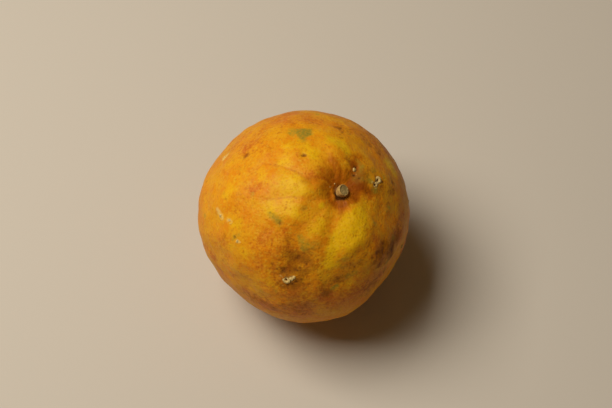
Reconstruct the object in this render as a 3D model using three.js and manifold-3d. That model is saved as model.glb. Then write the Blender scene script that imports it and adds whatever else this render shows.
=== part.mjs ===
// A round, rough-skinned lemon, with the short woody stub of its stalk in a puckered dimple.
// Units are millimetres and +Z is up. The origin is the middle of the flat spot that it rests on.
import * as THREE from 'three';
import { mergeVertices } from 'three/addons/utils/BufferGeometryUtils.js';
import Module from 'manifold-3d';

const wasm = await Module();
wasm.setup();

// Body
const BODY_RADIUS = 35.2;
const LENGTH_TO_WIDTH = 1.02;
const SKIN_DETAIL = 18;
const FINER_AT_STALK = 0.74;

// How the fruit lies: the stalk leans off straight up, towards the heading
const STALK_LEAN_DEG = 23.8;
const STALK_HEADING_DEG = -29.9;
const SPOT_SINK = 0.65;

// Stalk end
const DIMPLE_DEPTH = 2.3;
const DIMPLE_REACH = 6.6;
const SOCKET_DEPTH = 1.6;
const GAP = 0.3;
const STUB_RADIUS = 1.9;
const STUB_HEIGHT = 2.1;
const STUB_FLARE = 0.07;
const BARK_THICKNESS = 0.4;
const RIM_ROUNDING = 0.3;
const CUT_RECESS = 0.1;
const CUT_SLANT = 0.22;
const CUT_FACING_DEG = 33;
const STUB_SIDES = 20;

// Blossom end
const NIPPLE_HEIGHT = 1.5;
const NIPPLE_REACH = 6.5;
const AREOLE_RADIUS = 10;
const AREOLE_DEPTH = 0.45;
const AREOLE_WIDTH = 2.6;

// Small lumps all over the skin, drawn at random
const KNOBBLES = 220;
const KNOBBLE_HEIGHT = 0.36;
const KNOBBLE_REACH = [2.8, 7];
const KNOBBLE_SEED = 11;

// Specks on the side that faces the table and the back
const HIDDEN_SPECKS = 9;
const HIDDEN_PITS = 4;
const SPECK_SEED = 5;
const SPECK_SIDES = 7;
const RING_SIDES = 9;

// Places on the skin are given as [angle from the stalk, bearing round it] in degrees.
// Bearing 180 is the uphill side of the stalk, where the fruit's top is.

// Folds that run out from the stalk: furrows have a negative height and ridges a positive one.
// The third, fourth and thirteenth are rounded from a fit to how light falls on the fruit.
const FOLDS = [
  { path: [[8, 176], [17.5, -166], [23.5, -164.5], [33, -168], [44, -168]], height: -0.35, width: 1.5 },
  { path: [[8, -126], [18.5, -131.5], [28, -136.5], [40, -141]], height: -0.4, width: 1.6 },
  { path: [[7, -100], [19, -110], [28, -99], [37, -95], [44, -87], [51, -90]], height: -1, width: 3.7 },
  { path: [[6, -80], [16, -67], [26.5, -68], [37.5, -79]], height: -0.45, width: 2.3 },
  { path: [[7, 8], [20, 10], [30, 8]], height: -0.4, width: 2.4 },
  { path: [[7, 31], [22.5, 31.5]], height: -0.35, width: 1.9 },
  { path: [[7, 87], [14.5, 89.5], [25, 98]], height: -0.45, width: 1.9 },
  { path: [[7, 147], [17.5, 148], [26, 142]], height: -0.35, width: 1.7 },
  { path: [[15, -148], [36, -154]], height: 0.8, width: 4.2 },
  { path: [[19, -124], [36, -128]], height: 0.6, width: 3.4 },
  { path: [[13.5, -110], [15.5, -109.5]], height: 0.6, width: 1.5 },
  { path: [[14, -92], [31, -96]], height: 0.4, width: 3 },
  { path: [[8, -14], [19.5, -10], [38, -56]], height: 0.4, width: 3.5 },
  { path: [[16, 134], [31, 129]], height: 0.5, width: 3.8 },
  { path: [[15, 72], [42, 69]], height: 0.2, width: 4.4 },
  { path: [[12, 20], [25, 24]], height: 0.3, width: 2.6 },
  { path: [[13, 178], [25, 179]], height: 0.4, width: 2.8 },
];

// Broad bulges and flats. The first seventeen were set by hand and make the outline uneven.
const BULGES = [
  { at: [56, 101], height: 0.8, reach: 15 },
  { at: [66, 48], height: 0.5, reach: 11 },
  { at: [82, -34], height: 0.9, reach: 11 },
  { at: [102, -172], height: 0.6, reach: 8 },
  { at: [92, -158], height: 0.4, reach: 11 },
  { at: [62, -115], height: 0.6, reach: 9 },
  { at: [69, -78], height: 0.6, reach: 8 },
  { at: [77, 178], height: -0.9, reach: 11 },
  { at: [104, -106], height: -1.5, reach: 14 },
  { at: [112, -86], height: -0.6, reach: 9 },
  { at: [82, -94], height: -0.9, reach: 7 },
  { at: [64, -5], height: -1.2, reach: 12 },
  { at: [84, -15], height: -0.6, reach: 7 },
  { at: [45, -84], height: -0.6, reach: 6 },
  { at: [120, 58], height: 0.7, reach: 13 },
  { at: [130, -44], height: -0.6, reach: 12 },
  { at: [112, 128], height: -0.8, reach: 12 },
  // The rest are rounded or scaled down from a fit to how light falls on the upper side
  { at: [15, 10], height: -0.7, reach: 6 },
  { at: [27, -10], height: 0.5, reach: 7 },
  { at: [34.5, -34.5], height: 1.3, reach: 8 },
  { at: [47, -20], height: 1.3, reach: 8 },
  { at: [33, 20], height: -1.2, reach: 8 },
  { at: [60, -35], height: 1.3, reach: 9 },
  { at: [45, 5], height: 1.2, reach: 9 },
  { at: [19, -92], height: -0.7, reach: 5 },
  { at: [19, -68], height: -0.35, reach: 5 },
  { at: [26, -108], height: 0.8, reach: 5.5 },
  { at: [26, -84], height: 0.8, reach: 6 },
  { at: [20, 35], height: -0.4, reach: 5 },
  { at: [32, 85], height: -0.5, reach: 7 },
  { at: [46, 42], height: 0.4, reach: 8 },
];

// Corky rings: raised rims round a small hole
const RING_SCARS = [
  { at: [56.3, -83.9], outer: 1.35, rise: 0.55 },
  { at: [54.6, -80.6], outer: 1.05, rise: 0.5 },
  { at: [20.9, 54.6], outer: 1.25, rise: 0.5 },
  { at: [18.5, 49.5], outer: 0.85, rise: 0.35 },
  { at: [180, 0], outer: 1.5, rise: 0.3 },
];

// Corky specks: low domes
const SPECKS = [
  { at: [13.4, 93.8], radius: 0.6 },
  { at: [13.3, 76.6], radius: 0.35 },
  { at: [69.9, 15.3], radius: 0.75 },
  { at: [63, 41.2], radius: 0.5 },
  { at: [72.2, -141.8], radius: 0.6 },
  { at: [70.4, -137.4], radius: 0.65 },
  { at: [64.4, -133.3], radius: 0.55 },
  { at: [79.3, -175.2], radius: 0.8 },
  { at: [64.6, -120], radius: 0.5 },
];

// Small dark pits
const PITS = [
  { at: [58.4, -174.1], radius: 0.65 },
  { at: [27.4, 169.9], radius: 0.6 },
  { at: [37, -117.4], radius: 0.5 },
];

const RIND = new THREE.MeshStandardMaterial({ color: 0xd8960f, roughness: 0.5, metalness: 0 });
const WOOD = new THREE.MeshStandardMaterial({ color: 0x98805a, roughness: 0.85, metalness: 0 });

function seededRandom(seed) {
  let state = seed;
  return () => {
    state = (state + 0x6d2b79f5) | 0;
    let mixed = Math.imul(state ^ (state >>> 15), 1 | state);
    mixed = (mixed + Math.imul(mixed ^ (mixed >>> 7), 61 | mixed)) ^ mixed;
    return ((mixed ^ (mixed >>> 14)) >>> 0) / 4294967296;
  };
}

// Unit vector in the stalk's own frame, whose +Z runs out along the stalk
function direction([angle, bearing]) {
  const polar = THREE.MathUtils.degToRad(angle);
  const azimuth = THREE.MathUtils.degToRad(bearing);
  return new THREE.Vector3(
    Math.sin(polar) * Math.cos(azimuth),
    Math.sin(polar) * Math.sin(azimuth),
    Math.cos(polar),
  );
}

function bell(distance, reach) {
  return Math.exp(-((distance / reach) ** 2));
}

function randomDirection(random) {
  const height = 2 * random() - 1;
  const azimuth = 2 * Math.PI * random();
  const across = Math.sqrt(1 - height * height);
  return new THREE.Vector3(across * Math.cos(azimuth), across * Math.sin(azimuth), height);
}

function scatterKnobbles() {
  const random = seededRandom(KNOBBLE_SEED);
  const [least, most] = KNOBBLE_REACH;
  return Array.from({ length: KNOBBLES }, () => ({
    centre: randomDirection(random),
    height: KNOBBLE_HEIGHT * (2 * random() - 1),
    reach: least + (most - least) * random(),
  }));
}

function foldLines() {
  return FOLDS.map(({ path, height, width }) => {
    const points = path.map(direction);
    const lines = points.slice(1).map((point, index) => new THREE.Line3(points[index], point));
    return { lines, height, width };
  });
}

const LUMPS = [
  ...BULGES.map(({ at, height, reach }) => ({ centre: direction(at), height, reach })),
  ...scatterKnobbles(),
];
const CREASES = foldLines();

// Height that one fold adds at a direction: full along its path and fading at the outer end
function foldHeight({ lines, height, width }, outward) {
  const nearest = new THREE.Vector3();
  let least = Infinity;
  let along = 0;
  lines.forEach((line, index) => {
    line.closestPointToPoint(outward, true, nearest);
    const distance = nearest.distanceTo(outward) * BODY_RADIUS;
    if (distance < least) {
      least = distance;
      along = (index + line.closestPointToPointParameter(outward, true)) / lines.length;
    }
  });
  const fade = 1 - 0.55 * THREE.MathUtils.smoothstep(along, 0.5, 1);
  return height * fade * bell(least, width);
}

// Distance from the fruit's centre to its skin
function skinRadius(outward) {
  const polar = outward.angleTo(new THREE.Vector3(0, 0, 1));
  const fromStalk = polar * BODY_RADIUS;
  const fromBlossom = (Math.PI - polar) * BODY_RADIUS;
  const stretch = Math.hypot(Math.sin(polar), LENGTH_TO_WIDTH * Math.cos(polar));
  let radius = BODY_RADIUS * stretch;
  radius -= DIMPLE_DEPTH * bell(fromStalk, DIMPLE_REACH);
  radius += NIPPLE_HEIGHT * bell(fromBlossom, NIPPLE_REACH);
  radius -= AREOLE_DEPTH * bell(fromBlossom - AREOLE_RADIUS, AREOLE_WIDTH);
  for (const { centre, height, reach } of LUMPS) {
    radius += height * bell(outward.angleTo(centre) * BODY_RADIUS, reach);
  }
  for (const crease of CREASES) {
    radius += foldHeight(crease, outward);
  }
  return radius;
}

// Draws the directions in towards the stalk, so that the triangles are finer there
function drawnToStalk(outward) {
  const polar = outward.angleTo(new THREE.Vector3(0, 0, 1));
  const azimuth = Math.atan2(outward.y, outward.x);
  const drawn = 2 * Math.atan(FINER_AT_STALK * Math.tan(polar / 2));
  return new THREE.Vector3(
    Math.sin(drawn) * Math.cos(azimuth),
    Math.sin(drawn) * Math.sin(azimuth),
    Math.cos(drawn),
  );
}

function bareGeometry(geometry) {
  const bare = geometry.clone();
  bare.deleteAttribute('normal');
  bare.deleteAttribute('uv');
  return mergeVertices(bare);
}

function skinGeometry() {
  const skin = bareGeometry(new THREE.IcosahedronGeometry(1, SKIN_DETAIL));
  const position = skin.attributes.position;
  const outward = new THREE.Vector3();
  for (let index = 0; index < position.count; index += 1) {
    outward.fromBufferAttribute(position, index).normalize();
    const drawn = drawnToStalk(outward);
    drawn.multiplyScalar(skinRadius(drawn));
    position.setXYZ(index, drawn.x, drawn.y, drawn.z);
  }
  return skin;
}

function toSolid(geometry) {
  const bare = bareGeometry(geometry);
  return new wasm.Manifold(new wasm.Mesh({
    numProp: 3,
    vertProperties: new Float32Array(bare.attributes.position.array),
    triVerts: new Uint32Array(bare.index.array),
  }));
}

function toGeometry(solid) {
  const mesh = solid.getMesh();
  const geometry = new THREE.BufferGeometry();
  geometry.setAttribute('position', new THREE.BufferAttribute(mesh.vertProperties, 3));
  geometry.setIndex(new THREE.BufferAttribute(mesh.triVerts, 1));
  geometry.computeVertexNormals();
  return geometry;
}

// Turns a profile of [radius, height] points round the Z axis
function turned(profile, sides) {
  const points = profile.map(([radius, height]) => new THREE.Vector2(radius, height));
  return new THREE.LatheGeometry(points, sides).rotateX(Math.PI / 2);
}

// Moves a shape modelled at the origin, with +Z outwards, to its place on the skin
function onSkin(geometry, outward) {
  const turn = new THREE.Quaternion().setFromUnitVectors(new THREE.Vector3(0, 0, 1), outward);
  const place = outward.clone().multiplyScalar(skinRadius(outward));
  return geometry.applyQuaternion(turn).translate(place.x, place.y, place.z);
}

function ringScar({ at, outer, rise }) {
  const root = -1;
  const hole = 0.4 * outer;
  const profile = [
    [hole, root],
    [1.1 * outer, root],
    [outer, 0.35 * rise],
    [0.75 * outer, rise],
    [hole, 0.5 * rise],
    [hole, root],
  ];
  return onSkin(turned(profile, RING_SIDES), direction(at));
}

function speck({ outward, radius }) {
  return onSkin(new THREE.SphereGeometry(radius, SPECK_SIDES, 4), outward);
}

// Places that the stalk side doesn't show, drawn at random
function hiddenPlaces(count, random) {
  const places = [];
  while (places.length < count) {
    const outward = randomDirection(random);
    const fromBlossom = outward.angleTo(direction([180, 0]));
    if (fromBlossom > 0.6 && fromBlossom < 1.3) {
      places.push({ outward, radius: 0.4 + 0.3 * random() });
    }
  }
  return places;
}

function stubProfile() {
  const bark = STUB_RADIUS;
  const wood = STUB_RADIUS - BARK_THICKNESS;
  const root = GAP - SOCKET_DEPTH;
  return [
    [0, root],
    [bark - 0.15, root],
    [bark, root + 0.15],
    [bark * (1 + STUB_FLARE), 0.45 * STUB_HEIGHT],
    [bark, STUB_HEIGHT - RIM_ROUNDING],
    [bark - RIM_ROUNDING / 3, STUB_HEIGHT - RIM_ROUNDING / 3],
    [bark - RIM_ROUNDING, STUB_HEIGHT],
    [wood, STUB_HEIGHT],
    [wood - 0.1, STUB_HEIGHT - CUT_RECESS],
    [0, STUB_HEIGHT - CUT_RECESS + 0.05],
  ];
}

function socketGeometry() {
  const radius = STUB_RADIUS * (1 + STUB_FLARE) + GAP;
  const above = 4;
  const profile = [
    [0, -SOCKET_DEPTH],
    [radius, -SOCKET_DEPTH],
    [radius, above],
    [0, above],
  ];
  return turned(profile, STUB_SIDES);
}

// Centre of the volume inside a closed skin, summed over the pyramids on its triangles
function centreOfVolume(geometry) {
  const { position } = geometry.attributes;
  const corners = [0, 1, 2].map(() => new THREE.Vector3());
  const centre = new THREE.Vector3();
  let volume = 0;
  for (let first = 0; first < geometry.index.count; first += 3) {
    corners.forEach((corner, step) => corner.fromBufferAttribute(position, geometry.index.getX(first + step)));
    const [a, b, c] = corners;
    const pyramid = a.dot(b.clone().cross(c)) / 6;
    volume += pyramid;
    centre.addScaledVector(a.clone().add(b).add(c), pyramid / 4);
  }
  return centre.divideScalar(volume);
}

// The stalk's frame as it lies: leaning, with its weight over the origin and its lowest part sunk
function restingPlace(skin) {
  const heading = new THREE.Matrix4().makeRotationZ(THREE.MathUtils.degToRad(STALK_HEADING_DEG));
  const lean = new THREE.Matrix4().makeRotationY(THREE.MathUtils.degToRad(STALK_LEAN_DEG));
  const turn = heading.multiply(lean);
  const leaning = skin.clone().applyMatrix4(turn);
  const weight = centreOfVolume(leaning);
  leaning.computeBoundingBox();
  const lift = -leaning.boundingBox.min.z - SPOT_SINK;
  return new THREE.Matrix4().makeTranslation(-weight.x, -weight.y, lift).multiply(turn);
}

function tableBlock() {
  const size = 4 * BODY_RADIUS;
  return new THREE.BoxGeometry(size, size, size).translate(0, 0, -size / 2);
}

function fruitMesh(skin, place) {
  const random = seededRandom(SPECK_SEED);
  const specks = SPECKS.map(({ at, radius }) => ({ outward: direction(at), radius }));
  const pits = PITS.map(({ at, radius }) => ({ outward: direction(at), radius }));
  specks.push(...hiddenPlaces(HIDDEN_SPECKS, random));
  pits.push(...hiddenPlaces(HIDDEN_PITS, random));
  let fruit = toSolid(skin);
  for (const raised of [...RING_SCARS.map(ringScar), ...specks.map(speck)]) {
    fruit = fruit.add(toSolid(raised));
  }
  for (const pit of pits) {
    fruit = fruit.subtract(toSolid(speck(pit)));
  }
  fruit = fruit.subtract(toSolid(onSkin(socketGeometry(), direction([0, 0]))));
  const lying = toGeometry(fruit).applyMatrix4(place);
  const rested = toSolid(lying).subtract(toSolid(tableBlock()));
  const mesh = new THREE.Mesh(toGeometry(rested), RIND);
  mesh.name = 'fruit';
  return mesh;
}

// Slants the stub's cut end, so that it is lower on the side that it faces
function slanted(geometry) {
  const { position } = geometry.attributes;
  const facing = THREE.MathUtils.degToRad(CUT_FACING_DEG);
  for (let index = 0; index < position.count; index += 1) {
    const height = position.getZ(index);
    const sideways = position.getX(index) * Math.cos(facing) + position.getY(index) * Math.sin(facing);
    const share = Math.max(height / STUB_HEIGHT, 0);
    position.setZ(index, height - CUT_SLANT * share * sideways);
  }
  geometry.computeVertexNormals();
  return geometry;
}

function stubMesh(place) {
  const mesh = new THREE.Mesh(slanted(turned(stubProfile(), STUB_SIDES)), WOOD);
  const foot = direction([0, 0]);
  foot.multiplyScalar(skinRadius(foot));
  mesh.position.copy(foot.applyMatrix4(place));
  mesh.quaternion.setFromRotationMatrix(place);
  mesh.name = 'stalk_stub';
  return mesh;
}

const skin = skinGeometry();
const place = restingPlace(skin);
const lemon = new THREE.Group();
lemon.add(fruitMesh(skin, place), stubMesh(place));

export default lemon;
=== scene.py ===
"""Looks of a round, rough-skinned lemon that lies on its flat spot, with its stalk stub uppermost.

Lengths are in metres, and names that end in _MM hold millimetres. Colours are linear red, green and blue.
Marks that the photograph shows are given by its pixels, as across, down, reach and strength, and are found on
the skin along the line of sight.
"""
import math
import random

import bpy
import numpy as np
from mathutils import Matrix, Vector


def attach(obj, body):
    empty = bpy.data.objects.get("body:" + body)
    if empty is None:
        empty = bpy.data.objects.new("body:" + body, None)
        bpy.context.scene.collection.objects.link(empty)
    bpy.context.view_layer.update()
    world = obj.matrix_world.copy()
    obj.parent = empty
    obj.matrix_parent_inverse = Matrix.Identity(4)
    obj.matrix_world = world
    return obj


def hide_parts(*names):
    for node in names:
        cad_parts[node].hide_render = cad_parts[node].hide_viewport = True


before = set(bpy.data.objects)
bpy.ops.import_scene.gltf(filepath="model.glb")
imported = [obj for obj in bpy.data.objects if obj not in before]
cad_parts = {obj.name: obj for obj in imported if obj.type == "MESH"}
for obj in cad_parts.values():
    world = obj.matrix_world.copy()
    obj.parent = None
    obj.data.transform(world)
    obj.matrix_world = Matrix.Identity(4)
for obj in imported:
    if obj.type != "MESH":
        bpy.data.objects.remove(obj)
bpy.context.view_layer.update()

MM = 0.001

# How the fruit lies
STALK_LEAN = math.radians(23.8)
STALK_HEADING = math.radians(-29.9)
BODY_RADIUS_MM = 35.2
WELL_OUTSIDE_MM = 60
BODY_CENTRE = Vector((-0.28, -0.02, 35.04)) * MM
STALK_TURN = Matrix.Rotation(STALK_HEADING, 3, "Z") @ Matrix.Rotation(STALK_LEAN, 3, "Y")
STALK_AXIS = STALK_TURN @ Vector((0, 0, 1))

# The stub, along its own axis from its foot in the dimple
STUB_FOOT = Vector((11.35, -6.70, 65.45)) * MM
STUB_HEIGHT_MM = 2.1
STUB_ROOT_MM = 1.3
CUT_RADIUS_MM = 1.55
CUT_SLANT = 0.22

# The photograph's frame and the view it was taken from
PHOTO_WIDTH_PX = 612
PHOTO_HEIGHT_PX = 408
FRUIT_MIDDLE_PX = (303.4, 216.6)
VIEW_DOWN = math.radians(62)
LENS_MM = 85
SENSOR_MM = 36
VIEW_DISTANCE = 0.485
PIXEL_MM = VIEW_DISTANCE / MM * SENSOR_MM / LENS_MM / PHOTO_WIDTH_PX
VIEW_RIGHT = Vector((1, 0, 0))
VIEW_UP = Vector((0, math.sin(VIEW_DOWN), math.cos(VIEW_DOWN)))
VIEW_BACK = Vector((0, -math.cos(VIEW_DOWN), math.sin(VIEW_DOWN)))

# The way that the stub's cut end slopes down, across the stub: towards the photograph's right
CUT_FACING = (STALK_TURN.transposed() @ VIEW_RIGHT).to_2d().normalized()

# The rind's mesh: an even ball that is drawn on to the CAD fruit
FIRST_CUBE_MM = 80
FIRST_BALL_MM = 42
BALL_LEVELS = 7
SMOOTHING_STEPS = 24

# The rind round the stub, by distance along the skin from the stalk's axis
SOCKET_FILL_MM = (2.9, 4.0)
SOCKET_EDGE_MM = (3.4, 4.4)
CREVICE_AT_MM = 2.1
CREVICE_WIDTH_MM = 0.6
CREVICE_DEPTH_MM = 0.55

# Pleats that run in to the stalk, as how many there are and how high they stand
BROAD_PLEATS = (11, 0.1)
FINE_PLEATS = (23, 0.05)
PLEATS_START_MM = (2.4, 4.5)
PLEATS_REACH_MM = 9.0

# Cloudy relief, as size and height in mm
LUMPS_MM = (5.5, 0.65)
PEBBLES_MM = (1.9, 0.12)
CORK_LUMPS_MM = (0.9, 0.22)
CORK_CRUMBS_MM = (0.35, 0.12)
BARK_LUMPS_MM = (1.3, 0.12)
BARK_GRAIN_MM = (0.4, 0.05)
PIT_DEPTH_MM = 0.3
RUSSET_DEPTH_MM = 0.12

# The blossom end, opposite the stalk, with its stained hollow and the corky ring of the fallen style
BLOSSOM_END = -STALK_AXIS
BLOSSOM_STAIN_MM = 2.4
BLOSSOM_PIT_MM = 0.7
BLOSSOM_RING_MM = 1.5
BLOSSOM_RING_HOLE = 0.45

# Colours of the rind, from its ground to its marks
ORANGE = (0.72, 0.24, 0.004)
GOLD = (0.75, 0.335, 0.006)
YELLOW = (0.80, 0.45, 0.004)
# Redder orange. Where it lies broad along the bottom and the right, it is partly painted shade
BLUSH_AND_SHADE = (0.65, 0.175, 0.02)
FRECKLE = (0.53, 0.12, 0.004)
GLAND = (0.50, 0.11, 0.003)
PALE_GRAIN = (0.86, 0.50, 0.03)
CREASE = (0.50, 0.12, 0.006)
# Russet brown. Where it lies broad along the bottom and the right, it is partly painted shade
RUSSET_AND_SHADE = (0.34, 0.12, 0.003)
RUSSET_PORE = (0.18, 0.05, 0.003)
DARK_RUSSET = (0.12, 0.05, 0.006)
STAIN = (0.38, 0.088, 0.001)
DARK_STAIN = (0.20, 0.035, 0.001)
OLIVE = (0.42, 0.27, 0.018)
DARK_OLIVE = (0.27, 0.22, 0.022)
SCURF = (0.82, 0.54, 0.14)
ROUND_CORK = (0.30, 0.19, 0.06)
# Brown rims and dark middles of pits, and of painted shadows beside the stub and the corky scars
PIT_AND_SHADOW = (0.24, 0.07, 0.004)
DARK_PIT_AND_SHADOW = (0.05, 0.014, 0.003)
# Painted shade in the crevice round the stub's foot
SHADE_UNDER_STUB = (0.05, 0.015, 0.003)

# Colours of the cork and the stub
DARK_CORK = (0.42, 0.27, 0.07)
PALE_CORK = (0.85, 0.62, 0.25)
DARK_BARK = (0.32, 0.17, 0.04)
PALE_BARK = (0.62, 0.39, 0.12)
DARK_CUT = (0.25, 0.17, 0.05)
PALE_CUT = (0.60, 0.41, 0.15)
CUT_EDGE = (0.12, 0.07, 0.02)
# Painted shade on the stub's foot, down in the dimple
SHADE_AT_BARK_FOOT = (0.08, 0.03, 0.006)

# The studio
KEY_TOWARDS = (-0.45, 0.08, 0.88)
KEY_DISTANCE = 0.75
KEY_SIZE = 0.42
KEY_WATTS = 5.85
KEY_COLOUR = (1.0, 0.95, 0.86)
SKY_COLOUR = (1.0, 0.72, 0.38)
SKY_STRENGTH = 0.08
PAPER = (0.60, 0.54, 0.46)
FLOOR_SIZE = 3

# Furrows that run out from the stalk, as pixels along each, with the depth and width in mm that sharpen it,
# and how strongly its line is painted darker
FURROWS = {
    "uphill": ([(331, 180), (315, 177), (303, 176), (290, 169), (273, 165), (262, 164)], 0.06, 0.6, 0.75),
    "left": ([(331, 198), (312, 200), (303, 198), (290, 197), (275, 199), (264, 199)], 0.08, 0.6, 0.65),
    "long": (
        [(332, 200), (320, 211), (312, 219), (299, 228), (290, 240), (286, 255), (286, 268)], 0.08, 1.2, 0.5,
    ),
    "near": ([(338, 202), (335, 215), (330, 230), (324, 245)], 0.02, 0.9, 0.25),
    "downhill": ([(355, 200), (371, 214), (381, 228)], 0.08, 0.9, 0.2),
    "right": ([(355, 193), (380, 197)], 0.08, 0.8, 0.5),
    "far right": ([(349, 179), (356, 170), (358, 153)], 0.08, 0.8, 0.5),
    "far": ([(337, 175), (330, 160), (325, 146)], 0.08, 0.8, 0.5),
}

# Marks on the skin: yellower and redder patches, then russet, olive, pale scurf, stain and pits. The broad
# redder and russet marks along the bottom and the right are partly painted shade, and some pit marks are
# painted shadows
YELLOW_MARKS = [
    (360, 211, 8, 0.9), (364, 220, 7, 0.6), (358, 232, 8, 0.8), (350, 244, 7, 0.6), (351, 219, 9, 1.0),
    (343, 230, 9, 1.0), (337, 241, 8, 1.0), (331, 252, 7, 0.9), (326, 264, 7, 0.8), (322, 274, 6, 0.4),
    (285, 184, 14, 0.8), (298, 180, 9, 0.5), (290, 209, 11, 0.7), (303, 190, 8, 0.5),
    (322, 205.7, 3.6, 1.1), (341, 144, 9, 0.9), (330, 139, 8, 0.6), (347, 151, 6, 0.6), (389, 163, 8, 0.9),
    (245, 252, 11, 0.45), (252, 266, 9, 0.15), (258, 279, 8, 0.5), (302, 143, 10, 0.6), (313, 154, 10, 0.8),
    (312, 232, 6, 0.6), (367, 203, 7, 0.5), (378, 198, 5, 0.4), (229, 245, 9, 0.6), (395, 174, 6, 0.5),
    (270, 282, 6, 0.5), (280, 160, 10, 0.5), (262, 176, 10, 0.6), (307, 246, 7, 0.4), (296, 242, 6, 0.3),
    (236, 226, 9, 0.5), (232, 186, 14, 0.5), (222, 215, 10, 0.5), (250, 205, 9, 0.4), (270, 205, 9, 0.4),
    (318, 190, 8, 0.3), (370, 218, 6, 0.2), (366, 230, 8, 0.3), (361, 242, 7, 0.3), (355, 252, 7, 0.4),
    (310, 218, 8, 0.5), (322, 222, 6, 0.6), (287, 146, 8, 0.6), (370, 270, 8, 0.4), (350, 285, 8, 0.4),
    (335, 265, 7, 0.6), (328, 278, 6, 0.5), (345, 258, 6, 0.5), (392, 168, 9, 0.5), (270, 212, 9, 0.6),
    (280, 228, 7, 0.5), (296, 214, 8, 0.3), (217, 230, 8, 0.5), (390, 200, 8, 0.3), (322, 230, 6, 0.5),
    (288, 162, 9, 0.4), (226, 196, 8, 0.4), (240, 222, 7, 0.3), (384, 178, 7, 0.4), (350, 280, 8, 0.3),
]
# Redder patches, and broad ones along the bottom and the right that are partly painted shade on the side away
# from the light
BLUSH_AND_SHADE_MARKS = [
    (256, 139, 12, 0.6), (243, 149, 9, 0.55), (263, 128, 10, 0.5), (290, 114, 12, 0.7), (304, 120, 12, 0.6),
    (279, 121, 10, 0.45), (320, 121, 9, 0.5), (252, 190, 6, 0.7), (260, 187, 5, 0.7), (240, 206, 8, 0.4),
    (266, 234, 9, 0.7), (283, 231, 6, 0.6), (213, 256, 7, 1.0), (221, 271, 6, 0.9), (235, 290, 7, 0.9),
    (372, 140, 10, 0.7), (386, 152, 8, 0.6), (370, 195, 7, 0.6), (403, 214, 8, 0.8), (399, 234, 8, 0.9),
    (326, 296, 8, 1.0), (300, 303, 16, 0.6), (342, 300, 14, 0.6), (268, 305, 11, 0.7), (297, 154, 3, 0.6),
    (385, 212, 8, 0.5), (366, 120, 8, 0.5), (373, 235, 8, 0.4), (360, 290, 14, 0.6), (380, 275, 9, 0.6),
    (300, 315, 18, 0.6), (275, 255, 8, 0.5), (252, 245, 6, 0.4), (320, 262, 6, 0.4), (230, 140, 9, 0.6),
    (292, 250, 8, 0.6), (258, 266, 7, 0.6), (280, 280, 8, 0.6), (246, 151, 8, 0.35), (268, 119, 10, 0.35),
    (302, 144, 4, 0.5), (285, 112, 10, 0.5), (248, 160, 7, 0.4), (252, 172, 7, 0.3), (243, 136, 11, 0.4),
    (264, 147, 9, 0.35), (312, 174, 6, 0.6), (274, 270, 8, 0.5), (300, 286, 8, 0.5), (258, 256, 6, 0.4),
    (224, 243, 7, 0.6), (262, 243, 6, 0.5), (282, 243, 6, 0.5), (208, 236, 6, 0.5), (336, 180, 6, 0.8),
    (325, 172, 6, 0.5), (366, 163, 7, 0.4), (290, 290, 8, 0.5), (240, 232, 6, 0.3), (228, 262, 6, 0.4),
    (245, 290, 10, 0.8), (232, 275, 8, 0.35), (262, 304, 10, 0.6), (218, 245, 8, 0.3), (233, 148, 9, 0.6),
    (225, 165, 7, 0.3), (285, 124, 9, 0.4), (378, 240, 8, 0.6), (366, 205, 7, 0.2), (374, 214, 6, 0.2),
]
# Russet, and broad marks along the bottom and the right that are partly painted shade on the side away from
# the light
RUSSET_AND_SHADE_MARKS = [
    (299, 262, 16, 0.6), (330, 287, 16, 0.3), (280, 286, 14, 0.35), (389, 254, 13, 0.7),
    (350, 268, 13, 0.15), (300, 308, 18, 0.5), (250, 297, 10, 0.6), (270, 307, 12, 0.5),
    (390, 190, 8, 0.35), (372, 285, 14, 0.7), (345, 128, 9, 0.4), (376, 150, 10, 0.3), (397, 226, 9, 0.55),
    (225, 262, 8, 0.2), (288, 241, 5, 0.6), (285, 251, 5, 0.4), (291, 257, 5.5, 0.5), (299, 258, 5, 0.6),
    (308, 262, 5, 0.6), (313, 250, 6, 0.4), (306, 250, 5, 0.3), (284.8, 271, 5, 0.85), (279, 261, 5, 0.2),
    (292, 272, 6, 0.45), (302, 276, 6, 0.4), (279, 273, 5, 0.45), (316, 266, 5, 0.4), (296, 269, 5, 0.35),
    (307, 270, 4, 0.4), (379, 255, 5, 0.7), (374, 263, 4, 0.5), (392, 247, 6, 0.7), (398, 238, 6, 0.6),
    (384, 243, 4, 0.5), (383, 249, 5, 0.6), (380, 264, 4, 0.7), (371, 246, 3.5, 0.5), (393, 240, 4, 0.6),
    (391, 256, 5, 0.7), (385, 270, 6, 0.6), (355, 269, 4.5, 0.5), (348, 265, 3.5, 0.3),
    (361, 263, 3.5, 0.5), (326, 294, 5, 0.8), (340, 128, 3.6, 0.7), (343.5, 133, 3, 0.6),
    (335, 126, 3, 0.5), (350, 134, 3, 0.5), (257, 298, 7, 0.25), (267, 301, 6, 0.2), (393, 182, 3.5, 0.8),
    (390, 175, 3, 0.5), (393, 191, 3, 0.5), (362, 135, 3.5, 0.5), (370, 144, 4, 0.6), (379, 154, 3, 0.4),
    (293, 286, 5, 0.8), (283, 287, 4, 0.6), (301, 283, 5, 0.5), (338, 281, 5, 0.5), (388, 205, 3, 0.5),
    (366, 227, 5, 0.3), (271, 247, 5, 0.3), (351, 163, 5, 0.7), (360, 161, 6, 0.7), (361, 168, 4, 0.5),
    (357, 171, 5, 0.6), (360, 179, 6, 1.2), (356, 177, 5, 0.9), (366, 174, 6, 0.6), (364, 186, 6, 0.7),
    (356, 168, 5, 0.6), (346, 158, 4, 0.5), (380, 190, 5, 0.5), (372, 193, 5, 0.5), (328, 283, 6, 0.2),
    (345, 275, 5, 0.2), (320, 278, 6, 0.2), (341, 137, 3, 0.4),
]
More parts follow.
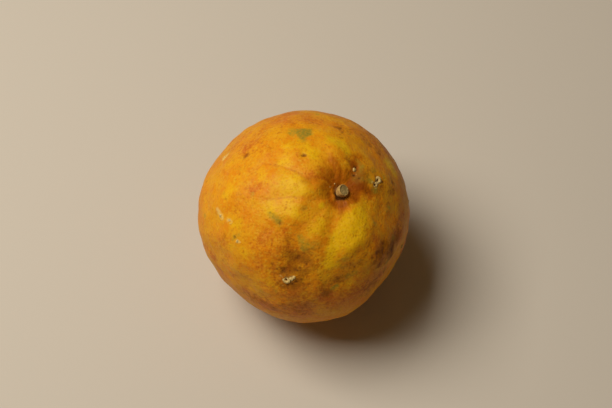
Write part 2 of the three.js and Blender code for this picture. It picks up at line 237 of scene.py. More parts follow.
OLIVE_MARKS = [
    (298, 130.5, 3.6, 0.8), (303.5, 130.5, 3.8, 1.0), (309, 130.5, 3.6, 1.0), (299, 134, 3.6, 0.8),
    (305, 134, 3.8, 1.1), (309.5, 134, 2.8, 0.8), (302.5, 137.5, 3.8, 1.0), (303.5, 141, 2.8, 0.7),
    (291, 129.5, 3.2, 0.6), (291.5, 133, 3.6, 0.7), (293, 136, 2.6, 0.4), (318, 114.5, 3, 0.6),
    (313, 113, 3, 0.4), (228.5, 153, 2.8, 0.6), (225, 158, 3, 0.5), (252.8, 194, 2.8, 0.6),
    (279.5, 222.7, 4.2, 0.8), (272, 216, 4.5, 0.5), (269, 213, 3, 0.3), (276, 219, 4, 0.5),
    (304.5, 208.4, 3.2, 0.5), (301, 209, 2.4, 0.3), (235, 237, 2.6, 1.0), (239, 235, 2, 0.6),
    (232, 240, 2, 0.5), (217, 212, 3, 0.4), (205, 216, 4, 0.6), (335, 287, 2.4, 0.8), (338, 285.5, 2, 0.8),
    (332, 288.5, 2, 0.8), (318, 247, 6, 0.3), (314, 244, 4, 0.25), (302, 240, 7, 0.35), (305, 246, 7, 0.35),
    (298, 236, 4, 0.2), (303, 249, 2.4, 0.5), (362, 166, 4.5, 0.6), (357, 178, 5, 0.55), (361, 172, 4, 0.3),
    (369, 175, 4, 0.25), (373, 170, 4, 0.6), (365, 180, 4, 0.3), (357, 160, 3, 0.4), (371, 181, 3, 0.8),
    (384, 178, 3, 0.5), (375, 190, 3.8, 1.0), (388.5, 207, 3, 0.8), (386, 212, 2.4, 0.5),
    (375.3, 223.4, 2.6, 0.7), (373, 219, 2, 0.4), (393, 238, 4, 0.6), (387, 262, 5, 0.6),
    (386, 269, 4, 0.6), (355, 272, 3, 0.6), (349, 276, 4, 0.5), (239, 169, 3, 0.4), (338, 245, 3, 0.2),
    (345, 259, 5, 0.5), (275, 291, 4, 0.4), (262, 291, 5, 0.4), (344, 268, 4, 0.5),
]
SCURF_MARKS = [
    (217.4, 209.5, 2.6, 0.7), (219, 212.2, 3.2, 0.7), (220.8, 215.8, 3.2, 0.75), (222.4, 218.4, 2.6, 0.5),
    (230, 221.2, 3.2, 0.9), (227, 220, 2.2, 0.6), (223.4, 159.5, 3.0, 0.8), (225.4, 156.8, 3.3, 0.85),
    (228, 154, 2.6, 0.7), (237.4, 241.3, 2.0, 1.0), (239.8, 241.6, 1.5, 0.6), (280.4, 275.8, 1.2, 0.8),
    (282, 277.5, 1.1, 0.6), (289, 283, 1.3, 0.8), (252.6, 194.6, 1.6, 0.4), (373, 182.2, 1.8, 0.8),
    (375.8, 188, 1.4, 0.7), (334.6, 183.7, 1.0, 1.1), (330.2, 186.6, 1.2, 0.7), (332.5, 186, 1.0, 0.5),
    (352.7, 174.1, 0.9, 0.8), (356.9, 174.0, 0.9, 0.8), (282.5, 285.8, 1.2, 0.5), (310, 140, 1.2, 0.5),
    (346, 279, 1.2, 0.5), (389, 263, 1.5, 0.5),
]
STAIN_MARKS = [
    (335, 172, 8, 0.6), (328, 177, 7, 0.55), (343, 175, 7, 0.35), (288, 268, 6, 0.4), (296, 261, 6, 0.4),
    (329, 159, 6, 0.6), (341, 183, 8, 0.45), (326, 188, 6, 0.55), (334, 188, 7, 0.65), (317, 178, 6, 0.6),
    (350, 181, 5, 0.6), (331, 196, 5, 0.6), (322, 168, 6, 0.5), (342, 203, 5, 0.9), (349, 201, 5, 0.4),
    (335, 205, 4, 0.6), (357, 191, 6, 0.9), (367, 191, 6, 0.8), (376, 193, 5, 0.6), (356, 198, 5, 0.6),
    (352, 188, 5, 0.8), (338, 163, 6, 0.4), (362, 185, 5, 0.5), (338, 204, 5, 0.9), (331, 202, 4, 0.6),
    (345, 206, 5, 0.5), (305, 181, 7, 0.6), (354, 174, 5, 0.5), (357, 182, 6, 0.6), (354, 186, 5, 0.8),
    (354, 163, 5, 0.7), (349, 170, 5, 0.5), (352, 156, 4, 0.3), (361, 156, 5, 0.6), (353, 188, 3, 0.5),
    (353, 199, 4, 0.4), (357, 166, 5, 0.6), (359, 158, 5, 0.5), (361, 174, 5, 0.3), (354, 200, 5, 0.6),
    (340, 212, 5, 0.5), (357, 178, 5, 0.3), (363, 168, 4, 0.5), (295, 232, 7, 0.35), (303, 222, 6, 0.3),
    (289, 243, 7, 0.4), (246.3, 155.2, 3.4, 0.9),
]
# Pits. Some are painted shadows: in the crevice below the stub, round the corky scars and in a dip right of
# the stub
PIT_AND_SHADOW_MARKS = [
    (356.5, 176, 4, 0.35), (358, 181, 3, 0.3), (246.3, 155, 3.8, 0.25), (245, 156.2, 2.0, 0.2),
    (303.7, 155.5, 1.6, 0.7), (301.6, 155.2, 1.4, 0.4), (306, 155.8, 1.4, 0.4), (356.5, 167.0, 1.9, 0.9),
    (354.6, 174.8, 1.3, 0.8), (359.5, 178, 1.4, 0.5), (297.8, 258.8, 2.0, 0.6), (284.9, 269.3, 2.0, 0.6),
    (271.9, 264.6, 1.3, 0.5), (277.5, 270, 1.2, 0.4), (341, 127.5, 1.4, 0.5), (343.3, 131.5, 1.4, 0.4),
    (280.3, 223.4, 1.8, 0.5), (234.9, 236.8, 1.6, 0.4), (377, 253, 2.4, 0.6), (372.5, 258, 2, 0.5),
    (383, 251, 1.8, 0.5), (296.2, 281.6, 1.5, 1.0), (286.3, 279.5, 1.7, 1.3), (377.3, 180.4, 1.6, 1.3),
    (375.0, 184.8, 1.5, 1.3), (336.8, 196.4, 2.4, 1.3), (339.8, 198.6, 2.4, 1.1), (344, 199.2, 2.0, 0.7),
    (334.9, 194, 2.0, 0.8), (336.5, 198.5, 2.4, 1.0), (292.5, 283.9, 1.7, 0.8), (287, 284.2, 1.5, 0.7),
    (304, 209, 1.1, 0.4), (355, 267, 1.4, 0.4), (393, 183, 1.4, 0.4), (382.3, 181.8, 1.1, 0.7),
    (340, 176, 1.3, 0.3), (331, 171, 1.3, 0.3), (310, 262, 1.2, 0.4), (304, 266, 1.1, 0.4),
    (290, 262, 1.2, 0.4),
]

# Corky scars: across, down and outer radius in pixels, and how far a ring's hole is open
CORK_RINGS = [(286.4, 279.6, 4.3, 0.28), (377.4, 180.4, 4.2, 0.25), (374.8, 185.0, 3.0, 0.28)]
CORK_SPECKS = [
    (354.3, 169.8, 2.0), (401.4, 246.4, 2.2), (409.5, 201.2, 1.5), (220.4, 215.6, 1.6), (229.5, 220.2, 1.3),
    (224.6, 157.2, 1.3), (237.4, 241.3, 1.2), (291.4, 278.8, 2.2), (294.0, 277.4, 1.6), (334.6, 183.7, 0.6),
]
RING_SHARE_OF_HEIGHT = 0.8
SPECK_SHARE_OF_HEIGHT = 0.6
SCARS_SEED = 3

# Marks scattered over the hidden side: how many groups, least and greatest reach in mm, and strength
HIDDEN_MARKS = {
    "yellow": (9, 2.5, 4.5, 0.7),
    "blush_and_shade": (12, 2.5, 5.0, 0.7),
    "russet_and_shade": (9, 1.0, 2.0, 0.8),
    "olive": (10, 0.7, 1.5, 0.8),
    "scurf": (8, 0.4, 0.8, 0.9),
    "pit": (10, 0.3, 0.6, 1.0),
}
HIDDEN_SPECKS = 9
HIDDEN_SPECK_MM = (0.35, 0.65)
HIDDEN_SEED = 7


def camera_place():
    """Where the camera stands, so that the fruit is where the photograph has it."""
    aim = BODY_CENTRE + VIEW_RIGHT * (PHOTO_WIDTH_PX / 2 - FRUIT_MIDDLE_PX[0]) * PIXEL_MM * MM
    aim += VIEW_UP * (FRUIT_MIDDLE_PX[1] - PHOTO_HEIGHT_PX / 2) * PIXEL_MM * MM
    return aim + VIEW_BACK * VIEW_DISTANCE


def deselect_all():
    if bpy.context.object and bpy.context.object.mode != "OBJECT":
        bpy.ops.object.mode_set(mode="OBJECT")
    bpy.ops.object.select_all(action="DESELECT")


def apply_modifier(piece, kind, **settings):
    """Adds a modifier, gives it its settings and applies it."""
    bpy.context.view_layer.objects.active = piece
    modifier = piece.modifiers.new(kind.title(), kind)
    for name, value in settings.items():
        setattr(modifier, name, value)
    bpy.ops.object.modifier_apply(modifier=modifier.name)


def roughen(piece, size_mm, height_mm, depth=1):
    """Raises and sinks a piece's surface by a cloudy relief of a size and height."""
    texture = bpy.data.textures.new(piece.name + " relief", "CLOUDS")
    texture.noise_scale = size_mm * MM
    texture.noise_depth = depth
    apply_modifier(
        piece, "DISPLACE", texture=texture, texture_coords="LOCAL", strength=height_mm * MM, mid_level=0.5
    )


def vertex_places(piece):
    """The piece's vertices from the fruit's centre, in mm, as an array."""
    places = np.empty(len(piece.data.vertices) * 3, np.float32)
    piece.data.vertices.foreach_get("co", places)
    return (places.reshape(-1, 3) - np.array(BODY_CENTRE)) / MM


def set_vertex_places(piece, places):
    places = places * MM + np.array(BODY_CENTRE)
    piece.data.vertices.foreach_set("co", places.astype(np.float32).ravel())
    piece.data.update()


def smoothstep(value, low, high):
    """0 below low, 1 above high and a smooth change between them."""
    share = np.clip((value - low) / (high - low), 0, 1)
    return share * share * (3 - 2 * share)


class Skin:
    """Directions of the rind's vertices, and their places from the stalk, as arrays."""

    def __init__(self, piece):
        places = vertex_places(piece)
        self.radius = np.linalg.norm(places, axis=1)
        self.outward = places / self.radius[:, None]
        own = self.outward @ np.array(STALK_TURN)
        self.bearing = np.arctan2(own[:, 1], own[:, 0])
        self.along = np.arccos(np.clip(own[:, 2], -1, 1)) * BODY_RADIUS_MM

    def bell(self, towards, reach):
        """1 at a place on the skin, fading to 0 around it."""
        distance = np.arccos(np.clip(self.outward @ np.array(towards), -1, 1)) * BODY_RADIUS_MM
        return np.exp(-((distance / reach) ** 2))

    def line(self, points, width):
        """1 along a line of places, fading to 0 on both sides."""
        least = np.full(len(self.outward), np.inf)
        for start, end in zip(points, points[1:]):
            step = np.array(end - start)
            share = np.clip((self.outward - np.array(start)) @ step / (step @ step), 0, 1)
            gap = self.outward - (np.array(start) + share[:, None] * step)
            least = np.minimum(least, np.linalg.norm(gap, axis=1) * BODY_RADIUS_MM)
        return np.exp(-((least / width) ** 2))


def seen_at(rind, across, down):
    """Direction from the fruit's centre to the place on its skin that a pixel of the photograph shows."""
    eye = camera_place()
    pixel = Vector((across, down))
    while True:
        offset = (pixel - Vector((PHOTO_WIDTH_PX, PHOTO_HEIGHT_PX)) / 2) * SENSOR_MM / PHOTO_WIDTH_PX
        ray = VIEW_RIGHT * offset.x - VIEW_UP * offset.y - VIEW_BACK * LENS_MM
        hit, place, _, _ = rind.ray_cast(eye, ray.normalized())
        if hit:
            return (place - BODY_CENTRE).normalized()
        pixel = pixel.lerp(Vector(FRUIT_MIDDLE_PX), 0.01)


def seen_marks(rind, marks):
    """Marks as directions, reaches in mm and strengths."""
    return [
        (seen_at(rind, across, down), reach * PIXEL_MM, strength)
        for across, down, reach, strength in marks
    ]


def random_step(chance):
    """A step at random, as likely one way as another."""
    return Vector((chance.gauss(0, 1), chance.gauss(0, 1), chance.gauss(0, 1)))


def hidden_direction(chance):
    """A direction at random that the photograph doesn't show."""
    while True:
        towards = random_step(chance).normalized()
        if towards.dot(VIEW_BACK) < 0.1 and towards.z > -0.93:
            return towards


def hidden_marks(chance, count, least_mm, most_mm, strength):
    """Marks scattered over the side that the photograph doesn't show, in small groups."""
    marks = []
    for _ in range(count):
        middle = hidden_direction(chance)
        for _ in range(chance.randint(1, 4)):
            reach = chance.uniform(least_mm, most_mm)
            towards = (middle + random_step(chance) * reach / BODY_RADIUS_MM).normalized()
            marks.append((towards, reach, strength * chance.uniform(0.6, 1.1)))
    return marks


def wrapped_ball():
    """A ball of even four-sided faces, drawn on to the CAD fruit and smoothed past its facets."""
    bpy.ops.mesh.primitive_cube_add(size=FIRST_CUBE_MM * MM, location=BODY_CENTRE)
    ball = bpy.context.object
    ball.name = "rind"
    bpy.ops.object.transform_apply(location=True, rotation=True, scale=True)
    apply_modifier(ball, "SUBSURF", levels=BALL_LEVELS, render_levels=BALL_LEVELS)
    places = vertex_places(ball)
    set_vertex_places(ball, places / np.linalg.norm(places, axis=1)[:, None] * FIRST_BALL_MM)
    apply_modifier(
        ball, "SHRINKWRAP", target=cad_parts["fruit"], wrap_method="PROJECT",
        use_negative_direction=True, use_positive_direction=False,
    )
    apply_modifier(ball, "SMOOTH", factor=0.5, iterations=SMOOTHING_STEPS)
    return ball


def close_round_stub(rind):
    """Fills the socket, so that the rind runs up to the stub with a narrow crevice round it."""
    skin = Skin(rind)
    edge_start, edge_end = SOCKET_EDGE_MM
    edge = (skin.along > edge_start) & (skin.along < edge_end)
    floor = skin.radius[edge].mean() - 0.1
    radius = skin.radius + (floor - skin.radius) * (1 - smoothstep(skin.along, *SOCKET_FILL_MM))
    radius -= CREVICE_DEPTH_MM * np.exp(-(((skin.along - CREVICE_AT_MM) / CREVICE_WIDTH_MM) ** 2))
    set_vertex_places(rind, skin.outward * radius[:, None])


def pucker_round_stalk(rind, furrows):
    """Fine pleats that run in to the stalk between the furrows, and sharper furrow floors."""
    skin = Skin(rind)
    (broad_count, broad_height), (fine_count, fine_height) = BROAD_PLEATS, FINE_PLEATS
    wander = 1.1 * np.sin(2 * skin.bearing + 0.7) + 0.6 * np.sin(5 * skin.bearing + 2.1)
    broad = broad_height * np.cos(broad_count * skin.bearing + wander)
    fine = fine_height * np.cos(fine_count * skin.bearing + 2 * wander + 0.12 * skin.along)
    envelope = smoothstep(skin.along, *PLEATS_START_MM) * np.exp(-((skin.along / PLEATS_REACH_MM) ** 2))
    radius = skin.radius + (broad + fine) * envelope
    for points, depth, width, _ in furrows:
        radius -= depth * skin.line(points, width) * smoothstep(skin.along, 3, 6)
    set_vertex_places(rind, skin.outward * radius[:, None])


def press_in(rind, marks, depth_mm):
    """Sinks the skin a little at each mark."""
    skin = Skin(rind)
    sunk = sum(strength * skin.bell(towards, reach) for towards, reach, strength in marks)
    set_vertex_places(rind, skin.outward * (skin.radius - depth_mm * np.minimum(sunk, 1.2))[:, None])


def rest_on_floor(rind):
    """Flattens what would reach below the table."""
    places = vertex_places(rind)
    places[:, 2] = np.maximum(places[:, 2], -BODY_CENTRE.z / MM)
    set_vertex_places(rind, places)


def paint(rind, name, values):
    """Stores a value or a vector at each vertex, for the rind's finish to read."""
    vector = values.ndim == 2
    attribute = rind.data.attributes.new(name, "FLOAT_VECTOR" if vector else "FLOAT", "POINT")
    attribute.data.foreach_set("vector" if vector else "value", values.astype(np.float32).ravel())


def paint_rind(rind, marks, furrows, cork):
    """Stores how strong each kind of mark is at each vertex, and the vertex's place from the stalk."""
    skin = Skin(rind)
    for name, rows in {**marks, "cork": cork}.items():
        total = sum(strength * skin.bell(towards, reach) for towards, reach, strength in rows)
        paint(rind, name, np.minimum(total, 1.3))
    crease = sum(darkened * skin.line(points, width) for points, _, width, darkened in furrows)
    paint(rind, "crease", np.minimum(crease, 1) * smoothstep(skin.along, 3, 6))
    paint(rind, "from_stalk", skin.along)
    fan = np.column_stack([3 * np.cos(skin.bearing), 3 * np.sin(skin.bearing), 0.12 * skin.along])
    paint(rind, "fan", fan)


def build_rind():
    """The rind, with the places of its marks and corky scars."""
    rind = wrapped_ball()
    furrows = [([seen_at(rind, *pixel) for pixel in pixels], *values) for pixels, *values in FURROWS.values()]
    marks = {
        "yellow": seen_marks(rind, YELLOW_MARKS),
        "blush_and_shade": seen_marks(rind, BLUSH_AND_SHADE_MARKS),
        "russet_and_shade": seen_marks(rind, RUSSET_AND_SHADE_MARKS),
        "olive": seen_marks(rind, OLIVE_MARKS),
        "scurf": seen_marks(rind, SCURF_MARKS),
        "stain": seen_marks(rind, STAIN_MARKS),
        "pit": seen_marks(rind, PIT_AND_SHADOW_MARKS),
    }
    chance = random.Random(HIDDEN_SEED)
    for name, scatter in HIDDEN_MARKS.items():
        marks[name] += hidden_marks(chance, *scatter)
    marks["stain"].append((BLOSSOM_END, BLOSSOM_STAIN_MM, 1.0))
    marks["pit"].append((BLOSSOM_END, BLOSSOM_PIT_MM, 1.0))
    close_round_stub(rind)
    pucker_round_stalk(rind, furrows)
    roughen(rind, *LUMPS_MM)
    roughen(rind, *PEBBLES_MM, depth=2)
    press_in(rind, marks["pit"], PIT_DEPTH_MM)
    press_in(rind, marks["russet_and_shade"], RUSSET_DEPTH_MM)
    rest_on_floor(rind)
    rings = seen_marks(rind, CORK_RINGS) + [(BLOSSOM_END, BLOSSOM_RING_MM, BLOSSOM_RING_HOLE)]
    specks = [(seen_at(rind, across, down), radius * PIXEL_MM) for across, down, radius in CORK_SPECKS]
    specks += [(hidden_direction(chance), chance.uniform(*HIDDEN_SPECK_MM)) for _ in range(HIDDEN_SPECKS)]
    cork = [(towards, 1.1 * outer, 1.0) for towards, outer, _ in rings]
    cork += [(towards, 1.2 * radius, 1.0) for towards, radius in specks]
    paint_rind(rind, marks, furrows, cork)
    bpy.ops.object.shade_smooth()
    return rind, rings, specks


def stand_on_skin(piece, rind, towards, shape):
    """Moves a shape modelled at the origin to where a direction meets the rind, its +Z outwards."""
    _, place, normal, _ = rind.ray_cast(BODY_CENTRE + towards * WELL_OUTSIDE_MM * MM, -towards)
    turn = normal.to_track_quat("Z", "Y").to_matrix().to_4x4()
    piece.data.transform(Matrix.Translation(place) @ turn @ Matrix.Diagonal((*shape, 1)))
    piece.data.update()


def cork_ring(outer_mm, hole):
    """A raised corky rim round a small hole."""
    thickness = (1 - hole) / 2 * outer_mm
    bpy.ops.mesh.primitive_torus_add(
        major_radius=(outer_mm - thickness) * MM, minor_radius=thickness * MM,
        major_segments=40, minor_segments=16,
    )
    return bpy.context.object


def cork_speck(radius_mm):
    bpy.ops.mesh.primitive_ico_sphere_add(subdivisions=4, radius=radius_mm * MM)
    return bpy.context.object


def build_cork_scars(rind, rings, specks):
    """All the raised corky scars, joined and roughened as one piece."""
    chance = random.Random(SCARS_SEED)
    scars = []
    for towards, outer, hole in rings:
        scars.append(cork_ring(outer, hole))
        stand_on_skin(scars[-1], rind, towards, (1, chance.uniform(0.82, 0.96), RING_SHARE_OF_HEIGHT))
    for towards, radius in specks:
        scars.append(cork_speck(radius))
        stand_on_skin(scars[-1], rind, towards, (1, chance.uniform(0.7, 1.0), SPECK_SHARE_OF_HEIGHT))
    deselect_all()
    for scar in scars:
        scar.select_set(True)
    bpy.context.view_layer.objects.active = scars[0]
    bpy.ops.object.join()
    cork = bpy.context.object
    cork.name = "cork_scars"
    roughen(cork, *CORK_LUMPS_MM)
    roughen(cork, *CORK_CRUMBS_MM)
    bpy.ops.object.shade_smooth()
    return cork


def build_stub():
    """The short woody stub: a slightly flared bark wall, a thin rim and a slanted cut end."""
    wall = [(1.75, -STUB_ROOT_MM), (1.82, -0.8), (1.87, -0.3), (1.9, 0.2), (1.94, 0.7), (1.97, 1.1)]
    rim = [(1.97, 1.45), (1.95, 1.62), (1.91, 1.82), (1.85, 1.96), (1.76, 2.06), (1.66, STUB_HEIGHT_MM)]
    cut = [(CUT_RADIUS_MM, 2.07), (CUT_RADIUS_MM - 0.1, 2.0), (1.3, 1.97), (1.1, 1.99)]
    cut += [(0.85, 2.01), (0.6, 2.02), (0.35, 2.03), (0.12, 2.03)]
    profile = wall + rim + cut
    bpy.ops.mesh.primitive_circle_add(
        vertices=80, radius=profile[0][0] * MM, fill_type="NGON", location=(0, 0, -STUB_ROOT_MM * MM)
    )
    stub = bpy.context.object
    stub.name = "stub"
    bpy.ops.object.mode_set(mode="EDIT")
    bpy.ops.mesh.select_all(action="SELECT")
    for (before, low), (after, high) in zip(profile, profile[1:]):
        bpy.ops.mesh.extrude_region_move(TRANSFORM_OT_translate={"value": (0, 0, (high - low) * MM)})
        bpy.ops.transform.resize(value=(after / before, after / before, 1))
    bpy.ops.mesh.select_all(action="SELECT")
    bpy.ops.mesh.normals_make_consistent(inside=False)
    bpy.ops.object.mode_set(mode="OBJECT")
    apply_modifier(stub, "SUBSURF", levels=1, render_levels=1)
    for vertex in stub.data.vertices:
        share = max(vertex.co.z / MM / STUB_HEIGHT_MM, 0)
        vertex.co.z -= CUT_SLANT * share * vertex.co.to_2d().dot(CUT_FACING)
    stub.data.transform(Matrix.Translation(STUB_FOOT) @ STALK_TURN.to_4x4())
    roughen(stub, *BARK_LUMPS_MM)
    roughen(stub, *BARK_GRAIN_MM)
    bpy.ops.object.shade_smooth()
    return stub


class Wire:
    """An output socket of a finish, which Python arithmetic adds Math nodes to."""

    def __init__(self, finish, socket):
        self.finish = finish
        self.socket = socket

    def _maths(self, operation, first, second):
        return self.finish.node("ShaderNodeMath", {"operation": operation}, {0: first, 1: second})

    def __add__(self, other):
        return self._maths("ADD", self, other)

    def __radd__(self, other):
        return self._maths("ADD", other, self)

    def __sub__(self, other):
        return self._maths("SUBTRACT", self, other)

    def __rsub__(self, other):
        return self._maths("SUBTRACT", other, self)

    def __mul__(self, other):
        return self._maths("MULTIPLY", self, other)

    def __rmul__(self, other):
        return self._maths("MULTIPLY", other, self)


class Finish:
    """A material, whose nodes are all added by one method."""

    def __init__(self, name):
        self.material = bpy.data.materials.new(name)
        self.material.use_nodes = True
        self.tree = self.material.node_tree
        self.surface = self.tree.nodes["Principled BSDF"]
        place = self.node("ShaderNodeTexCoord", output="Object")
        self.place_mm = self.node("ShaderNodeVectorMath", {"operation": "SCALE"}, {0: place, "Scale": 1 / MM})

    def feed(self, socket, value):
        if isinstance(value, Wire):
            self.tree.links.new(value.socket, socket)
        elif isinstance(value, tuple) and socket.type == "RGBA":
            socket.default_value = (*value, 1)
        else:
            socket.default_value = value

    def node(self, kind, settings=None, inputs=None, output=0):
        """Adds a node of a kind: its settings first, then the values or links of its sockets."""
        node = self.tree.nodes.new(kind)
        for name, value in (settings or {}).items():
            setattr(node, name, value)
        for name, value in (inputs or {}).items():
            self.feed(node.inputs[name], value)
        return Wire(self, node.outputs[output])

    def noise(self, size_mm, detail=2.0, roughness=0.5, place=None):
        """Soft noise about 0, mostly between -0.5 and 0.5."""
        place = place or self.place_mm
        inputs = {"Vector": place, "Scale": 1 / size_mm, "Detail": detail, "Roughness": roughness}
        return 2 * self.node("ShaderNodeTexNoise", {}, inputs) - 1

    def cells(self, size_mm):
        """Distance from the middle of cells of a size, in cells."""
        return self.node(
            "ShaderNodeTexVoronoi", {"feature": "F1"}, {"Vector": self.place_mm, "Scale": 1 / size_mm},
            output="Distance",
        )

    def painted(self, name, output="Fac"):
        return self.node("ShaderNodeAttribute", {"attribute_name": name}, output=output)

    def fade(self, value, low, high):
        """0 below low, 1 above high and a smooth change between them."""
        return self.node(
            "ShaderNodeMapRange", {"interpolation_type": "SMOOTHSTEP", "clamp": True},
            {"Value": value, "From Min": low, "From Max": high, "To Min": 0.0, "To Max": 1.0},
        )

    def mix(self, share, first, second):
        """Mixes two colours."""
        return self.node("ShaderNodeMix", {"data_type": "RGBA"}, {0: share, 6: first, 7: second}, output=2)

    def bump(self, height, depth_mm):
        return self.node("ShaderNodeBump", {}, {"Height": height, "Distance": depth_mm * MM, "Strength": 1.0})

    def set(self, **sockets):
        """Sets sockets of the surface shader, named with underscores for spaces."""
        for name, value in sockets.items():
            self.feed(self.surface.inputs[name.replace("_", " ")], value)


def rind_finish():
    """Orange-yellow rind: oil glands, blotches of colour, russet and olive marks, a stain round the stalk,
    and painted shade round the stub, by the scars and along the side away from the light.
    """
    finish = Finish("rind")
    blotches = finish.noise(8, detail=3, roughness=0.6)
    mottle = finish.noise(2.2, detail=4, roughness=0.65)
    grain = finish.noise(0.75, detail=2, roughness=0.6)
    glands = finish.cells(0.95)
    pores = finish.cells(1.7)

    colour = finish.mix(finish.fade(blotches + 0.5 * mottle, -0.35, 0.35), ORANGE, GOLD)
    yellow = finish.painted("yellow") + 0.5 * mottle
    colour = finish.mix(finish.fade(yellow, 0.2, 1.0), colour, YELLOW)
    # Redder patches, partly painted shade where broad marks lie along the bottom and the right
    blush_and_shade = finish.painted("blush_and_shade") + 0.6 * mottle + 0.3 * grain
    colour = finish.mix(0.8 * finish.fade(blush_and_shade, 0.25, 1.05), colour, BLUSH_AND_SHADE)

    speckled = finish.painted("blush_and_shade") + 0.8 * finish.painted("russet_and_shade") + 0.9 * mottle
    freckles = finish.noise(1.3, detail=3, roughness=0.7)
    colour = finish.mix(0.6 * finish.fade(freckles + 0.4 * speckled, 0.05, 0.6), colour, FRECKLE)
    gland_dots = 1 - finish.fade(glands, 0.15, 0.6)
    colour = finish.mix((0.18 + 0.4 * finish.fade(speckled, 0.0, 1.0)) * gland_dots, colour, GLAND)
    paler = finish.fade(grain - 0.5 * freckles, 0.0, 0.6)
    colour = finish.mix(0.6 * paler, colour, PALE_GRAIN)

    crease = finish.painted("crease") + 0.5 * mottle + 0.5 * grain
    colour = finish.mix(0.55 * finish.fade(crease, 0.2, 1.0), colour, CREASE)

    # Russet, partly painted shade where broad marks lie along the bottom and the right
    russet_and_shade = finish.painted("russet_and_shade") + 0.6 * mottle + 0.6 * freckles + 0.3 * grain
    colour = finish.mix(0.75 * finish.fade(russet_and_shade, 0.15, 0.95), colour, RUSSET_AND_SHADE)
    pore_dots = 1 - finish.fade(pores, 0.12, 0.42)
    russet_pores = finish.painted("russet_and_shade") + 0.5 * mottle + 0.7 * pore_dots
    colour = finish.mix(0.6 * finish.fade(russet_pores, 0.8, 1.6), colour, RUSSET_PORE)
    patchy = 0.6 + 0.6 * freckles + 0.8 * grain
    colour = finish.mix(finish.fade(russet_and_shade, 0.9, 1.6) * patchy, colour, DARK_RUSSET)

    streaks = finish.noise(0.55, detail=3, roughness=0.6, place=finish.painted("fan", "Vector"))
    stain = finish.painted("stain") + 0.55 * streaks + 0.35 * mottle
    colour = finish.mix(0.85 * finish.fade(stain, 0.1, 1.05), colour, STAIN)
    colour = finish.mix(0.6 * finish.fade(stain, 0.9, 1.5), colour, DARK_STAIN)

    olive = 1.3 * finish.painted("olive") + 0.4 * mottle
    colour = finish.mix(finish.fade(olive, 0.1, 0.9) * patchy, colour, OLIVE)
    colour = finish.mix(finish.fade(olive, 0.7, 1.4) * patchy, colour, DARK_OLIVE)
    scurf = finish.painted("scurf") * (1 + 1.2 * freckles + 0.8 * grain)
    colour = finish.mix(0.75 * finish.fade(scurf, 0.15, 1.0), colour, SCURF)
    cork = finish.painted("cork") + 0.5 * grain
    colour = finish.mix(0.8 * finish.fade(cork, 0.35, 0.9), colour, ROUND_CORK)
    # Pits, and painted shadows, from a brown rim to a dark middle
    pits = finish.painted("pit") + 0.35 * grain
    colour = finish.mix(0.75 * finish.fade(pits, 0.0, 0.5), colour, PIT_AND_SHADOW)
    colour = finish.mix(0.9 * finish.fade(pits, 0.4, 0.9), colour, DARK_PIT_AND_SHADOW)
    # Painted shade: the rind darkens close round the stub, where the crevice lies
    painted_shade_under_stub = 1 - finish.fade(finish.painted("from_stalk") + 0.5 * mottle, 1.9, 2.9)
    colour = finish.mix(0.75 * painted_shade_under_stub, colour, SHADE_UNDER_STUB)

    relief = 0.5 * finish.fade(glands, 0.0, 0.6) + 0.25 * grain + 0.3 * freckles + 0.25 * scurf
    roughness = 0.5 + 0.1 * mottle + 0.15 * finish.fade(russet_and_shade, 0.3, 1.0)
    finish.set(
        Base_Color=colour, Roughness=roughness, Normal=finish.bump(relief, 0.12),
        Subsurface_Weight=0.05, Subsurface_Radius=(1.0, 0.4, 0.08), Subsurface_Scale=0.8 * MM,
        Specular_IOR_Level=0.13,
    )
    return finish.material


def cork_finish():
    """Cream, crumbly cork of healed scars."""
    finish = Finish("cork")
    crumb = finish.noise(0.5, detail=3, roughness=0.7)
    colour = finish.mix(finish.fade(crumb, -0.3, 0.4), DARK_CORK, PALE_CORK)
    finish.set(Base_Color=colour, Roughness=0.85, Normal=finish.bump(crumb, 0.06), Specular_IOR_Level=0.2)
    return finish.material


def stub_finish():
    """Tan bark with a grey-brown, fibrous cut end, and painted shade down in the dimple."""
    finish = Finish("stub wood")
    from_foot = finish.node(
        "ShaderNodeVectorMath", {"operation": "SUBTRACT"}, {0: finish.place_mm, 1: tuple(STUB_FOOT / MM)}
    )
    dot = {"operation": "DOT_PRODUCT"}
    across, deep, height = (
        finish.node("ShaderNodeVectorMath", dot, {0: from_foot, 1: tuple(axis)}, output="Value")
        for axis in STALK_TURN.transposed()
    )
    reach = finish.node("ShaderNodeMath", {"operation": "SQRT"}, {0: across * across + deep * deep})
    sideways = CUT_FACING.x * across + CUT_FACING.y * deep
    below_cut = height + CUT_SLANT * sideways - STUB_HEIGHT_MM
    grain = finish.noise(0.6, detail=3, roughness=0.6)
    bark = finish.mix(finish.fade(grain, -0.45, 0.35), DARK_BARK, PALE_BARK)
    lengthways = CUT_FACING.x * deep - CUT_FACING.y * across
    fibres = finish.node("ShaderNodeCombineXYZ", {}, {0: sideways, 1: 0.2 * lengthways, 2: 0.2 * height})
    strands = finish.noise(0.35, detail=2, roughness=0.6, place=fibres)
    cut = finish.mix(finish.fade(strands + 0.4 * grain, -0.35, 0.35), DARK_CUT, PALE_CUT)
    on_cut = finish.fade(below_cut, -0.25, -0.15) * (1 - finish.fade(reach + 0.1 * grain, 1.4, 1.6))
    colour = finish.mix(on_cut, bark, cut)
    edge = on_cut * finish.fade(reach, 1.15, 1.45)
    colour = finish.mix(0.35 * edge, colour, CUT_EDGE)
    # Painted shade: the stub darkens towards its foot in the dimple
    colour = finish.mix(0.85 * (1 - finish.fade(height + 0.3 * grain, 0.1, 1.0)), colour, SHADE_AT_BARK_FOOT)
    bump = finish.bump(grain + 0.5 * strands, 0.05)
    finish.set(Base_Color=colour, Roughness=0.8, Normal=bump, Specular_IOR_Level=0.15)
    return finish.material


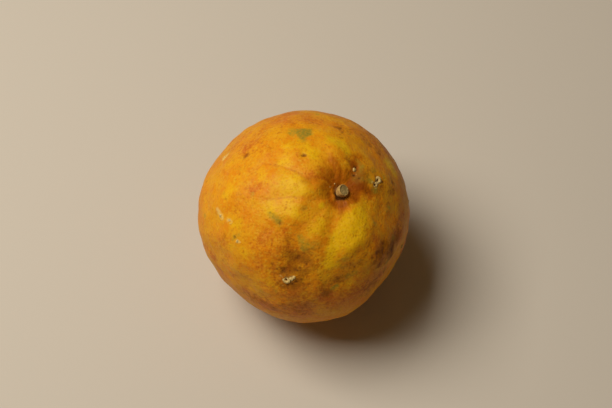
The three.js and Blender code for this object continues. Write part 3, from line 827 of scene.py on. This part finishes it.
def dress(piece, material):
    """Gives a piece its material and slot, and rides it on the fruit's only body."""
    piece.data.materials.clear()
    piece.data.materials.append(material)
    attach(piece, "root")


def add_camera():
    """The camera at the photograph's angle, distance and framing."""
    lens = bpy.data.cameras.new("camera")
    lens.lens = LENS_MM
    lens.sensor_width = SENSOR_MM
    lens.clip_start = 0.01
    camera = bpy.data.objects.new("camera", lens)
    bpy.context.scene.collection.objects.link(camera)
    turn = Matrix((VIEW_RIGHT, VIEW_UP, VIEW_BACK)).transposed().to_4x4()
    camera.matrix_world = Matrix.Translation(camera_place()) @ turn
    bpy.context.scene.camera = camera


def add_softbox(name, towards, distance, size, watts, colour):
    """A square area light that faces the fruit."""
    light = bpy.data.lights.new(name, "AREA")
    light.size = size
    light.energy = watts
    light.color = colour
    lamp = bpy.data.objects.new(name, light)
    bpy.context.scene.collection.objects.link(lamp)
    towards = Vector(towards).normalized()
    lamp.location = BODY_CENTRE + towards * distance
    lamp.rotation_euler = towards.to_track_quat("Z", "Y").to_euler()


def add_studio():
    """The pale floor, the one soft light and a faint warm sky."""
    bpy.ops.mesh.primitive_plane_add(size=FLOOR_SIZE, location=(0, 0, 0))
    floor = bpy.context.object
    floor.name = "floor"
    paper = Finish("pale paper")
    paper.set(Base_Color=PAPER, Roughness=0.9, Specular_IOR_Level=0.2)
    floor.data.materials.append(paper.material)
    add_softbox("key", KEY_TOWARDS, KEY_DISTANCE, KEY_SIZE, KEY_WATTS, KEY_COLOUR)
    world = bpy.data.worlds.new("studio")
    world.use_nodes = True
    background = world.node_tree.nodes["Background"]
    background.inputs["Color"].default_value = (*SKY_COLOUR, 1)
    background.inputs["Strength"].default_value = SKY_STRENGTH
    bpy.context.scene.world = world
    bpy.context.scene.view_settings.view_transform = "Standard"


deselect_all()
rind, rings, specks = build_rind()
cork_scars = build_cork_scars(rind, rings, specks)
stub = build_stub()
dress(rind, rind_finish())
dress(cork_scars, cork_finish())
dress(stub, stub_finish())
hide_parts("fruit")
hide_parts("stalk_stub")
add_studio()
add_camera()
